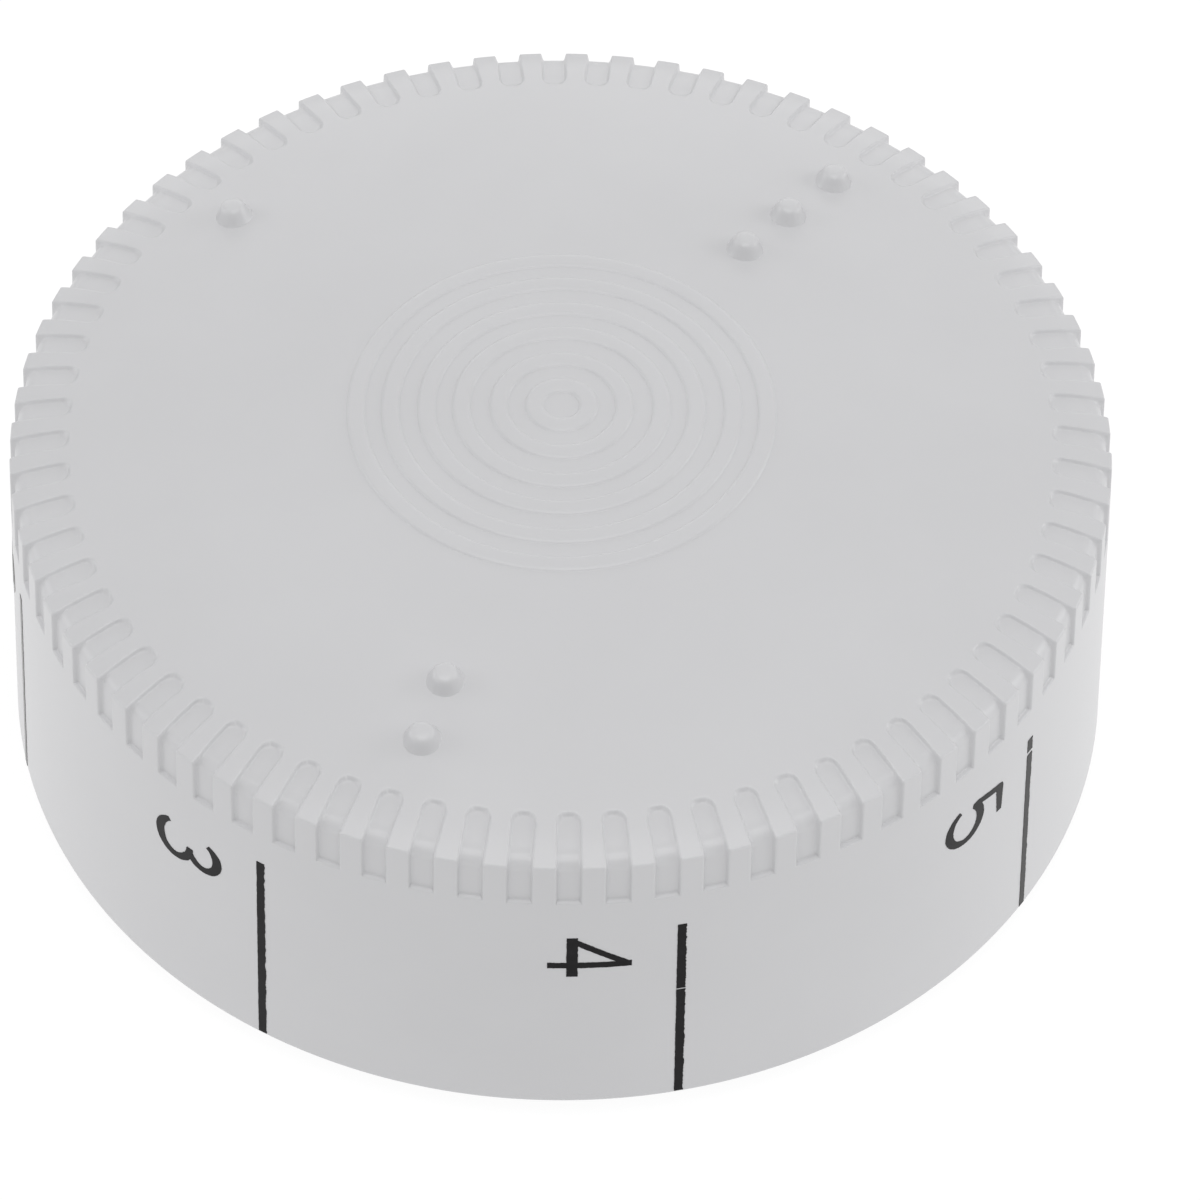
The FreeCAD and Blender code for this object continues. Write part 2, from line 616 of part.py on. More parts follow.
def mate(teeth_a, teeth_b, phase_a, direction):
    """Rest angle of gear b so that it is in mesh with gear a, lying in a direction from a."""
    space = direction + 180.0 - teeth_a / teeth_b * (phase_a - direction)
    return space - 180.0 / teeth_b


m1, m2, m3 = VALUE["moduleone"], VALUE["moduletwo"], VALUE["modulethree"]
z1, p2, z2, p3, z3, p4 = (VALUE[k] for k in (
    "teethone", "leavestwo", "teethtwo", "leavesthree", "teeththree", "leavesfour"))
d01 = 200.0
d12 = math.degrees(math.atan2(A2[1] - A1[1], A2[0] - A1[0]))
d23 = math.degrees(math.atan2(A3[1] - A2[1], A3[0] - A2[0]))
gear("main_wheel", m1, z1, 0.6 * m1, 1.1 * m1, VALUE["arborrad"] + 0.015, 10.9, 0.8, 0, 0, 0.0)
f2 = mate(z1, p2, 0.0, d01)
small = VALUE["smallrad"] + 0.012
gear("second_pinion", m1, p2, 0.85 * m1, 0.85 * m1, small, 10.5, 1.6, A1[0], A1[1], f2)
gear("second_wheel", m2, z2, 0.6 * m2, 1.1 * m2, small, 17.6, 0.7, A1[0], A1[1], f2)
f3 = mate(z2, p3, f2, d12)
gear("third_pinion", m2, p3, 0.85 * m2, 0.85 * m2, small, 17.2, 1.5, A2[0], A2[1], f3)
gear("third_wheel", m3, z3, 0.6 * m3, 1.1 * m3, small, 13.4, 0.7, A2[0], A2[1], f3)
f4 = mate(z3, p4, f3, d23)
gear("escape_pinion", m3, p4, 0.8 * m3, 0.85 * m3, small - 0.2, 13.0, 1.5, A3[0], A3[1], f4)


def small_arbor(label, x, y, r=None, bottom=None):
    r = r or D("smallrad")
    lo = bottom if bottom is not None else D("plateone") - 0.1
    rp = D("pivotrad")
    return revolved(label, [
        (0, lo), (rp, lo), (rp, plate_top + 0.06), (r, plate_top + 0.06), (r, D("platetwo") - 0.06),
        (rp, D("platetwo") - 0.06), (rp, D("platetwo") + D("platethick") + 0.1),
        (0, D("platetwo") + D("platethick") + 0.1)], x=x, y=y)


small_arbor("second_arbor", *A1)
small_arbor("third_arbor", *A2)
small_arbor("escape_arbor", *A3, r=D("smallrad") - 0.2)
small_arbor("balance_arbor", *A4, r=D("smallrad") - 0.2)

# escape wheel: pointed teeth
pts = []
nte = int(VALUE["teethescape"])
for k in range(nte):
    a = 360.0 / nte * k
    for r, da in ((3.7, 0.0), (VALUE["escaperad"], 9.5), (VALUE["escaperad"], 11.0), (3.7, 14.0)):
        x, y = polar(r, a + da)
        pts.append(V(x, y, 0))
star = Part.Face(Part.makePolygon(pts + [pts[0]])).extrude(V(0, 0, 0.6))
star = star.cut(Part.makeCylinder(small - 0.2, 3, V(0, 0, -1)))
feature("escape_wheel", star, A3[0], A3[1], 15.2, f4)

# pallet lever with its two pins beside the escape wheel, and the balance bar on the same arbor
toward = math.degrees(math.atan2(A3[1] - A4[1], A3[0] - A4[0]))
span = math.hypot(A3[0] - A4[0], A3[1] - A4[1])
clear_r = VALUE["escaperad"] + 0.3 + 0.45
pins = []
for s in (-1, 1):
    lx = span - clear_r * math.cos(math.radians(50.0))
    ly = s * clear_r * math.sin(math.radians(50.0))
    pins.append((math.hypot(lx, ly), math.degrees(math.atan2(ly, lx)) + toward))
arms = [cyl("pallet_hub", *A4, 15.2 + 1.2, 1.6, 0.6)]
for i, (r, deg) in enumerate(pins):
    px, py = polar(r / 2, deg)
    arms.append(box("pallet_arm_%d" % i, r + 0.6, 1.1, 0.6, A4[0] + px, A4[1] + py, 16.4, deg))
cut("pallet_lever", fuse("pallet_blank", arms),
    fuse("pallet_holes", [cyl("pallet_bore", *A4, 16.0, D("smallrad") - 0.185, 2.0)] + [
        cyl("pallet_pin_hole_%d" % i, A4[0] + polar(r, deg)[0], A4[1] + polar(r, deg)[1], 16.0, 0.31, 2.0)
        for i, (r, deg) in enumerate(pins)]))
group("pallet_pins", [cyl("pallet_pin_%d" % i, A4[0] + polar(r, deg)[0], A4[1] + polar(r, deg)[1],
                          14.9, 0.3, 2.2) for i, (r, deg) in enumerate(pins)])
bar = fuse("balance_blank", [box("balance_beam", 7.6, 1.4, 0.8, A4[0], A4[1], 11.3, 35.0)] + [
    cyl("balance_weight_%d" % i, A4[0] + polar(3.8, deg)[0], A4[1] + polar(3.8, deg)[1], 10.9, 1.2, 1.6)
    for i, deg in enumerate((35.0, 215.0))] + [cyl("balance_hub", *A4, 10.9, 1.5, 1.6)])
cut("balance_bar", bar, cyl("balance_bore", *A4, 10.0, D("smallrad") - 0.185, 4.0))

# ------------------------------------------------------------------ hammer
revolved("hammer_arbor", [
    (0, 6.3), (D("smallrad"), 6.3), (D("smallrad"), D("platetwo") - 0.06),
    (D("pivotrad"), D("platetwo") - 0.06), (D("pivotrad"), D("platetwo") + D("platethick") + 0.1),
    (0, D("platetwo") + D("platethick") + 0.1)], x=A5[0], y=A5[1])
NOSE = polar(6.6 + 0.12 + 0.5, 20.0)
nose_deg = math.degrees(math.atan2(NOSE[1] - A5[1], NOSE[0] - A5[0]))
reach = math.hypot(NOSE[1] - A5[1], NOSE[0] - A5[0])
mx, my = polar((reach - 3.0) / 2, nose_deg)
lever = fuse("release_blank", [
    cyl("release_hub", *A5, 16.4, 1.8, 0.7), cyl("release_nose", *NOSE, 16.4, 0.5, 0.7),
    box("release_arm", reach + 3.0, 1.0, 0.7, A5[0] + mx, A5[1] + my, 16.4, nose_deg)])
cut("release_lever", lever, cyl("release_bore", *A5, 16.0, D("smallrad") + 0.012, 2.0))
HEAD = (16.12, 0.33)
head_deg = math.degrees(math.atan2(HEAD[1] - A5[1], HEAD[0] - A5[0]))
reach = math.hypot(HEAD[1] - A5[1], HEAD[0] - A5[0])
mx, my = polar(reach / 2 - 0.4, head_deg)
hub = fuse("hammer_blank", [
    cyl("hammer_hub", *A5, 6.9, 1.6, 0.9),
    box("hammer_beam", reach - 0.8, 1.0, 0.7, A5[0] + mx, A5[1] + my, 7.0, head_deg)])
cut("hammer_arm", hub, fuse("hammer_bores", [
    cyl("hammer_bore", *A5, 6.0, D("smallrad") + 0.012, 3.0),
    cyl("hammer_head_seat", *HEAD, 6.0, 1.62, 3.0)]))
cyl("hammer_head", *HEAD, 6.9, 1.6, 1.3)
# leaf spring from a pillar, bearing on the tail of the release lever
ux, uy = math.cos(math.radians(nose_deg + 180.0)), math.sin(math.radians(nose_deg + 180.0))
tail = V(A5[0] + 3.0 * ux, A5[1] + 3.0 * uy, 0)
nx, ny = -uy, ux
if nx * (A5[0] - 30.0) + ny * (A5[1] - 8.0) < 0:
    side = -1
else:
    side = 1
root = V(*polar(20.5, 70.0), 0)
tip = tail + V(nx, ny, 0) * (-0.68)
along = (tip - root)
along.normalize()
across = V(-along.y, along.x, 0) * 0.125
start = root + along * 1.93
p = [start + across, tip + across + along * 0.3, tip - across + along * 0.3, start - across]
feature("hammer_spring", Part.Face(Part.makePolygon(p + [p[0]])).extrude(V(0, 0, 0.7)), z=16.4)

# ------------------------------------------------------------------ checks and export
doc.recompute()
NODES = [
    "dial_cap", "scale_marks", "main_arbor", "main_wheel", "friction_washer", "clutch_collar",
    "arbor_clip", "alarm_cam", "base_housing", "bottom_cover", "foot_ring", "cover_screws",
    "movement_screws", "bottom_plate", "top_plate", "plate_pillars", "stop_pins", "spring_stud",
    "mainspring", "bell", "bell_post", "bell_screw", "hammer_spring", "second_arbor", "second_pinion",
    "second_wheel", "third_arbor", "third_pinion", "third_wheel", "escape_arbor", "escape_pinion",
    "escape_wheel", "balance_arbor", "pallet_lever", "pallet_pins", "balance_bar", "hammer_arbor",
    "release_lever", "hammer_arm", "hammer_head",
]
bad = [(o.Name, o.State) for o in doc.Objects if "Invalid" in o.State or "Error" in o.State]
by_label = {o.Label: o for o in doc.Objects}
for name in NODES:
    shape = by_label[name].Shape
    if shape.isNull() or not shape.isValid() or not shape.Solids:
        bad.append((name, "null, invalid or not solid"))
    else:
        print("%-16s solids %2d  faces %4d  volume %9.2f  box %s" % (
            name, len(shape.Solids), len(shape.Faces), shape.Volume,
            " ".join("%.2f" % c for c in (
                shape.BoundBox.XMin, shape.BoundBox.YMin, shape.BoundBox.ZMin,
                shape.BoundBox.XMax, shape.BoundBox.YMax, shape.BoundBox.ZMax))))
if bad:
    raise SystemExit("failed objects: %s" % bad)
os.makedirs("parts", exist_ok=True)
for name in NODES:
    by_label[name].Shape.exportStep("parts/%s.step" % name)
print("A1 %s A2 %s A3 %s A4 %s" % (A1, A2, A3, A4))
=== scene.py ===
import bpy
import json
import math
import random
import numpy as np
from mathutils import Vector, Matrix


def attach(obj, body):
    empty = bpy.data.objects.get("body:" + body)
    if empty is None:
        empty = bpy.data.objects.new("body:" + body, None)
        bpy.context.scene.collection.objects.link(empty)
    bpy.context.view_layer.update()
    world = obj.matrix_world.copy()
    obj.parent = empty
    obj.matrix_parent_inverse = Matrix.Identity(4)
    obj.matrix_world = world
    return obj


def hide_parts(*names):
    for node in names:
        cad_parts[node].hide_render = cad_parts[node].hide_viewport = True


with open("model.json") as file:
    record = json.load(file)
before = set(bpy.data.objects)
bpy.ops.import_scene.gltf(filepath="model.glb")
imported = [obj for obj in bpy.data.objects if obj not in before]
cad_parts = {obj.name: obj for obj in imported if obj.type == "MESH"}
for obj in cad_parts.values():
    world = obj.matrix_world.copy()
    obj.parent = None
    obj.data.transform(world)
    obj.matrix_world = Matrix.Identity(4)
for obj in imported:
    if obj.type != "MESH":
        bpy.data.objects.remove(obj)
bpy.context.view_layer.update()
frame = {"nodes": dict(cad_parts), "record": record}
random.seed(7)
MM = 0.001


# ---------------------------------------------------------------- mesh helpers
def smooth(t):
    t = np.clip(t, 0.0, 1.0)
    return t * t * (3 - 2 * t)


def make_object(name, verts, faces, smooth_shading=True):
    mesh = bpy.data.meshes.new(name)
    mesh.from_pydata([tuple(v) for v in verts], [], faces)
    mesh.validate()
    mesh.update()
    obj = bpy.data.objects.new(name, mesh)
    bpy.context.scene.collection.objects.link(obj)
    if smooth_shading:
        mesh.polygons.foreach_set("use_smooth", [True] * len(mesh.polygons))
    return obj


# ---------------------------------------------------------------- the cap's profile (mm)
RIM_Z, RIM_R, EDGE_R, EDGE_Z = 1.7, 38.0, 37.75, 25.65
CROWN, DOME_R = 29.9, 185.0
ROLL_R, CREASE_R, CREASE_Z = 35.0, 37.57, 25.84
LEDGE_Z = 22.15
FLUTES, FLUTE_AT, FLUTE_HALF, FLUTE_TIP = 72, 3.25, 0.9, 33.6
FLUTE_DEEP, SIDE_DEEP = 0.26, 0.32
WALL = 0.2
RINGS = [(1.2, 2.5), (3.65, 4.95), (6.2, 7.5), (8.57, 9.87), (11.05, 12.35), (13.4, 14.7)]
BEAD = 0.15
side_x, side_y = math.cos(math.radians(-13.1)), math.sin(math.radians(-13.1))


def skirt_r(z):
    return RIM_R - (z - RIM_Z) / (EDGE_Z - RIM_Z) * (RIM_R - EDGE_R)


def top_z(r):
    """Land level: a shallow dome, rolling over more steeply towards the outer edge."""
    if r <= ROLL_R:
        return CROWN - (DOME_R - math.sqrt(DOME_R ** 2 - r * r))
    z0 = CROWN - (DOME_R - math.sqrt(DOME_R ** 2 - ROLL_R ** 2))
    slope = -ROLL_R / math.sqrt(DOME_R ** 2 - ROLL_R ** 2)
    t, span = r - ROLL_R, CREASE_R - ROLL_R
    bend = 2 * (CREASE_Z - z0 - slope * span) / span ** 2
    return z0 + slope * t + bend * t * t / 2


def ring_up(r):
    """Six shallow rounded beads, each with a soft crease at its two feet."""
    up = 0.0
    for a, b in RINGS:
        t = abs(r - (a + b) / 2) / ((b - a) / 2)
        if t < 1.0:
            up = BEAD * (1 - t ** 6)
    return up


# columns across one flute pitch: offsets in mm near the flute, shares of the land beyond it
COLS = ([("edge", 0.0), ("land", -0.4)] + [("flute", -v) for v in (1.0, .92, .86, .80, .74, .68, .55, .3)]
        + [("flute", v) for v in (0.0, .3, .55, .68, .74, .80, .86, .92, 1.0)] + [("land", 0.4)])
NCOL = len(COLS)
NF = NCOL * FLUTES
HALF_PITCH = math.radians(180.0 / FLUTES)


def column_angles(r):
    out = np.empty(NF)
    off = np.empty(NF)
    rr = max(r, 33.0)
    for c, (kind, v) in enumerate(COLS):
        if kind == "edge":
            a, y = -HALF_PITCH, 9.0
        elif kind == "flute":
            a, y = v / rr, v
        else:
            edge = 1.0 / rr
            a = math.copysign(edge + (HALF_PITCH - edge) * abs(v), v)
            y = math.copysign(9.0, v)
        out[c::NCOL] = np.radians(FLUTE_AT + np.arange(FLUTES) * 360.0 / FLUTES) + a
        off[c::NCOL] = y
    return out, off


land, floor_, tip_d = [], [], []       # (r, z) of the land and of the flute's floor, and what limits the flute


def add_row(lr, lz, fr, fz, limit):
    land.append((lr, lz)); floor_.append((fr, fz)); tip_d.append(limit)


r = 33.15
while r < 34.9:
    add_row(r, top_z(r), r, top_z(r) - FLUTE_DEEP, ("tip", r))
    r += 0.06
for r in (35.1, 35.4, 35.7, 36.0, 36.2):
    add_row(r, top_z(r), r, top_z(r) - FLUTE_DEEP, ("open", r))
# the corner: the land meets the skirt at a small fillet, the flute's floor turns down in a wider curve
corner_l = [(36.5, top_z(36.5)), (36.7, top_z(36.7)), (36.9, top_z(36.9)), (37.1, top_z(37.1)), (37.25, top_z(37.25)),
            (37.35, top_z(37.35)), (CREASE_R, CREASE_Z)]
for t in (0.25, 0.5, 0.75, 1.0):
    a = t * math.pi / 2
    corner_l.append((CREASE_R + (skirt_r(25.65) - CREASE_R) * math.sin(a), CREASE_Z - 0.18 * (1 - math.cos(a)) - 0.02 * t))
corner_l += [(skirt_r(z), z) for z in (25.4, 25.15, 24.9)]
n = len(corner_l)
bend_r = 1.1
f_cr = EDGE_R - SIDE_DEEP - bend_r
f_cz = top_z(f_cr) - FLUTE_DEEP - bend_r
for i, (lr, lz) in enumerate(corner_l):
    a = (i + 1) / n * math.pi / 2
    add_row(lr, lz, f_cr + bend_r * math.sin(a), min(lz - 0.01, f_cz + bend_r * math.cos(a)), ("open", lr))
for z in (24.6, 24.1, 23.6, 23.1, 22.7, 22.55, 22.46, 22.4, 22.34, 22.28, 22.22, 22.16, 22.1, 22.0):
    deep = 0.30 + (SIDE_DEEP - 0.30) * (z - LEDGE_Z) / (25.0 - LEDGE_Z)
    add_row(skirt_r(z), z, skirt_r(z) - deep, z, ("ledge", z))
for z in (21.4, 18.0, 12.0, 6.0, 2.6, 1.9, 1.72):
    add_row(skirt_r(z), z, skirt_r(z), z, ("none", z))
for t in (0.35, 0.7, 1.0):
    a = t * math.pi / 2
    lr, lz = skirt_r(1.7) - 0.2 + 0.2 * math.cos(a), 1.7 - 0.2 * math.sin(a)
    add_row(lr, lz, lr, lz, ("none", lz))


def cap_mesh():
    verts, faces = [], []

    def ring(rs, zs, angles):
        start = len(verts)
        verts.extend(np.stack([rs * np.cos(angles), rs * np.sin(angles), zs], -1) * MM)
        return start

    def link(a, b, count, flip=False):
        for j in range(count):
            k = (j + 1) % count
            q = (a + j, b + j, b + k, a + k)
            faces.append(q[::-1] if flip else q)

    ang, _ = column_angles(33.0)
    coarse = ang[::4]
    nc = len(coarse)
    radii = [0.35, 0.8]
    for a, b in RINGS:
        radii += [a - 0.12, a - 0.02, a, a + 0.05, a + 0.1, a + 0.16, a + 0.24, a + 0.36, (a + b) / 2,
              b - 0.36, b - 0.24, b - 0.16, b - 0.1, b - 0.05, b, b + 0.02, b + 0.12]
    radii += [16.5, 18.5, 20.5, 22.5, 24.5, 26.5, 28.5, 30.5, 31.8, 32.5, 32.9]
    verts.append(np.array([0, 0, CROWN * MM]))
    prev = None
    one = np.ones(nc)
    for r in radii:
        here = ring(one * r, one * (top_z(r) + ring_up(r)), coarse)
        if prev is None:
            for j in range(nc):
                faces.append((0, here + j, here + (j + 1) % nc))
        else:
            link(prev, here, nc)
        prev = here
    # fine rows through the flutes
    first = None
    for (lr, lz), (fr, fz), (kind, v) in zip(land, floor_, tip_d):
        angles, off = column_angles((lr + fr) / 2)
        if kind == "tip":
            rc = FLUTE_TIP + FLUTE_HALF
            inner = FLUTE_HALF - np.hypot(lr - rc, off) if lr < rc else FLUTE_HALF - np.abs(off)
        elif kind == "open":
            inner = FLUTE_HALF - np.abs(off)
        elif kind == "ledge":
            inner = np.minimum(FLUTE_HALF - np.abs(off), (v - LEDGE_Z + 0.03))
        else:
            inner = np.full(NF, -1.0)
        w = smooth(inner / WALL)
        here = ring(lr + (fr - lr) * w, lz + (fz - lz) * w, angles)
        if first is None:
            first = here
            for j in range(nc):
                k = (j + 1) % nc
                f = [first + (4 * j + i) % NF for i in range(5)]
                faces.append((prev + j, f[0], f[1]))
                faces.append((prev + j, f[1], f[2]))
                faces.append((prev + j, f[2], prev + k))
                faces.append((prev + k, f[2], f[3]))
                faces.append((prev + k, f[3], f[4]))
        else:
            link(prev, here, NF)
        prev = here
    # underside of the rim and the inside, on the coarse columns
    inside = [(37.0, 1.5), (36.2, 1.5), (36.0, 1.7), (35.95, 12.0), (35.92, 23.2), (35.7, 23.75), (35.2, 24.2),
              (34.0, 24.62), (30.0, 25.2), (20.0, 26.7), (10.0, 27.45), (4.9, 27.7), (4.55, 27.4), (4.5, 26.0), (4.5, 21.6), (4.3, 21.4),
              (2.25, 21.4), (2.05, 21.6), (2.05, 27.0)]
    start = True
    for r, z in inside:
        here = ring(one * r, one * z, coarse)
        if start:
            for j in range(nc):
                k = (j + 1) % nc
                f = [prev + (4 * j + i) % NF for i in range(5)]
                faces.append((here + j, f[1], f[0]))
                faces.append((here + j, f[2], f[1]))
                faces.append((here + j, here + k, f[2]))
                faces.append((here + k, f[3], f[2]))
                faces.append((here + k, f[4], f[3]))
            start = False
        else:
            link(prev, here, nc)
        prev = here
    verts.append(np.array([0, 0, 27.0 * MM]))
    top = len(verts) - 1
    for j in range(nc):
        faces.append((prev + j, top, prev + (j + 1) % nc))
    return verts, faces


v, f = cap_mesh()
cap = make_object("dial_cap_shell", v, f)
bm_fix = bpy.data.meshes.get("dial_cap_shell")


# ---------------------------------------------------------------- tactile dots
DOTS = [(30.4, 126.0), (24.6, -120.9), (29.4, -120.9), (20.4, 38.8), (25.3, 38.8), (30.5, 38.8)]


def dots_mesh():
    verts, faces = [], []
    prof = [(0, 1.12), (0.3, 1.12), (0.52, 1.105), (0.67, 1.055), (0.79, 0.965), (0.88, 0.84), (0.96, 0.67), (1.04, 0.49),
            (1.12, 0.32), (1.2, 0.15), (1.265, 0.03), (1.31, -0.04), (1.36, -0.09), (1.42, -0.14)]
    n = 64
    for r, deg in DOTS:
        a = math.radians(deg)
        slope = -r / DOME_R
        normal = Vector((-slope * math.cos(a), -slope * math.sin(a), 1)).normalized()
        turn = normal.to_track_quat("Z", "Y").to_matrix()
        centre = Vector((r * math.cos(a), r * math.sin(a), top_z(r))) + Vector((side_x * 0.0 + side_y * 0.12, -side_x * 0.12, 0))
        base = len(verts)
        verts.append((centre + turn @ Vector((0, 0, prof[0][1]))) * MM)
        for pr, pz in prof[1:]:
            for j in range(n):
                t = 2 * math.pi * j / n
                verts.append((centre + turn @ Vector((pr * math.cos(t), pr * math.sin(t), pz))) * MM)
        for j in range(n):
            faces.append((base, base + 1 + j, base + 1 + (j + 1) % n))
        for i in range(len(prof) - 2):
            s, e = base + 1 + i * n, base + 1 + (i + 1) * n
            for j in range(n):
                k = (j + 1) % n
                faces.append((s + j, e + j, e + k, s + k))
        last = base + 1 + (len(prof) - 2) * n
        faces.append(tuple(last + j for j in range(n))[::-1])
    return verts, faces


v, f = dots_mesh()
dots = make_object("tactile_dots", v, f)

# ---------------------------------------------------------------- printed scale
TICK_W, TICK_LOW, TICK_HIGH = 0.62, 1.72, 19.15
DIGIT_H, DIGIT_TOP, DIGIT_AT = 6.0, 18.7, 9.4
DIGIT_SCALE = {4: (0.945, 0.96)}                   # this numeral is a little smaller along and up the skirt
TOP = {3: 19.5, 4: 19.2}
REGISTER = {3: 0.44, 4: -0.17, 5: -0.34}           # small shifts of single lines, in degrees
PRINT_UP = 0.03


def arc(cx, cy, rx, ry, a0, a1, n=22):
    return [(cx + rx * math.cos(math.radians(a0 + (a1 - a0) * i / n)),
             cy + ry * math.sin(math.radians(a0 + (a1 - a0) * i / n))) for i in range(n + 1)]


# centre lines in a 4.1 wide, 6.0 high box, one list of strokes for each numeral
GLYPHS = {
    "0": [arc(2.05, 3.0, 1.7, 2.6, 0, 360, 48)],
    "1": [[(1.0, 4.55), (2.3, 5.6), (2.3, 0.3)]],
    "2": [arc(2.0, 4.15, 1.6, 1.45, 165, -30, 24) + [(2.6, 2.6), (0.5, 0.4), (3.8, 0.4)]],
    "3": [arc(1.95, 4.35, 1.35, 1.25, 160, -85, 26),
          arc(1.95, 1.8, 1.65, 1.4, 88, -160, 28)],
    "4": [[(2.92, 0.0), (2.92, 6.0)], [(2.9, 5.75), (0.28, 1.76)], [(0.0, 1.76), (4.1, 1.76)]],
    "5": [[(3.55, 5.6), (1.05, 5.6), (0.62, 3.05)] + arc(1.95, 1.95, 1.65, 1.55, 135, -162, 30)],
    "6": [arc(2.05, 1.9, 1.6, 1.55, 0, 360, 40), [(3.1, 5.65), (1.7, 5.1), (0.85, 3.9), (0.47, 2.4)]],
}


def resample(path, step=0.09):
    out = [path[0]]
    for a, b in zip(path, path[1:]):
        n_ = max(1, int(math.hypot(b[0] - a[0], b[1] - a[1]) / step))
        for i in range(1, n_ + 1):
            out.append((a[0] + (b[0] - a[0]) * i / n_, a[1] + (b[1] - a[1]) * i / n_))
    return out


def print_mesh():
    verts, faces = [], []

    def at(deg, s, z, up):
        r_ = skirt_r(z)
        a = math.radians(deg) + s / r_
        return Vector(((r_ + up) * math.cos(a), (r_ + up) * math.sin(a), z)) * MM

    def ribbon(deg, pts, half, up, closed=False, rough=(0.02, 0.02), taper=0.0):
        """A thin closed strip along (s, z) points; half gives its half width along s and z."""
        n_ = len(pts)
        base = len(verts)
        wob = [0.0, 0.0]
        for i, (s, z) in enumerate(pts):
            a = pts[(i - 1) % n_] if (i or closed) else pts[0]
            b = pts[(i + 1) % n_] if (i < n_ - 1 or closed) else pts[-1]
            tx, ty = b[0] - a[0], b[1] - a[1]
            ln = math.hypot(tx, ty) or 1.0
            nx, ny = -ty / ln, tx / ln
            for side in (0, 1):
                wob[side] = 0.55 * wob[side] + random.uniform(-1, 1) * rough[side]
            thin = 1 - taper * max(0.0, 1 - 6.0 * min(i, n_ - 1 - i) / n_)
            hx, hy = nx * half[0] * thin, ny * half[1] * thin
            p = [(s + hx + nx * wob[0], z + hy + ny * wob[0]), (s - hx - nx * wob[1], z - hy - ny * wob[1])]
            verts.append(at(deg, *p[0], up)); verts.append(at(deg, *p[1], up))
            verts.append(at(deg, *p[1], -0.02)); verts.append(at(deg, *p[0], -0.02))
        last = n_ if closed else n_ - 1
        for i in range(last):
            a, b = base + 4 * i, base + 4 * ((i + 1) % n_)
            for c in range(4):
                d = (c + 1) % 4
                faces.append((a + c, b + c, b + d, a + d))
        if not closed:
            faces.append((base + 3, base + 2, base + 1, base))
            e = base + 4 * (n_ - 1)
            faces.append((e, e + 1, e + 2, e + 3))

    for i in range(7):
        deg = 90.0 + 45.0 * i + REGISTER.get(i, 0.0)
        # a short scratch breaks two of the lines
        high = TOP.get(i, TICK_HIGH)
        spans = {4: [(TICK_LOW, 12.45), (12.58, high)], 5: [(TICK_LOW, 17.6), (17.9, high)]}.get(i, [(TICK_LOW, high)])
        for lo, hi in spans:
            pts = [(0.0, lo + (hi - lo) * k / 120) for k in range(121)]
            ribbon(deg, pts, (TICK_W / 2, TICK_W / 2), PRINT_UP, rough=(0.012, 0.035))
        for k, stroke in enumerate(GLYPHS[str(i)]):
            closed = len(stroke) > 30 and math.hypot(stroke[0][0] - stroke[-1][0], stroke[0][1] - stroke[-1][1]) < 1e-6
            path = resample(stroke[:-1] + [stroke[0]] if closed else stroke)
            if closed:
                path = path[:-1]
            # the numeral lies on its right side: its top points along the scale, its right side down
            along, upward = DIGIT_SCALE.get(i, (1.0, 1.0))
            pts = [((gy - DIGIT_H / 2) * along, DIGIT_TOP - gx * upward) for gx, gy in path]
            pen = 0.8 if i == 4 and k == 1 else 1.0
            ribbon(deg - DIGIT_AT, pts, (0.38 * pen, 0.27 * pen), PRINT_UP + 0.002 * k, closed, rough=(0.014, 0.014),
                   taper=0.35 if i in (3, 5) and k == len(GLYPHS[str(i)]) - 1 or i == 3 else 0.0)
    return verts, faces


v, f = print_mesh()
ink = make_object("scale_print", v, f, smooth_shading=False)


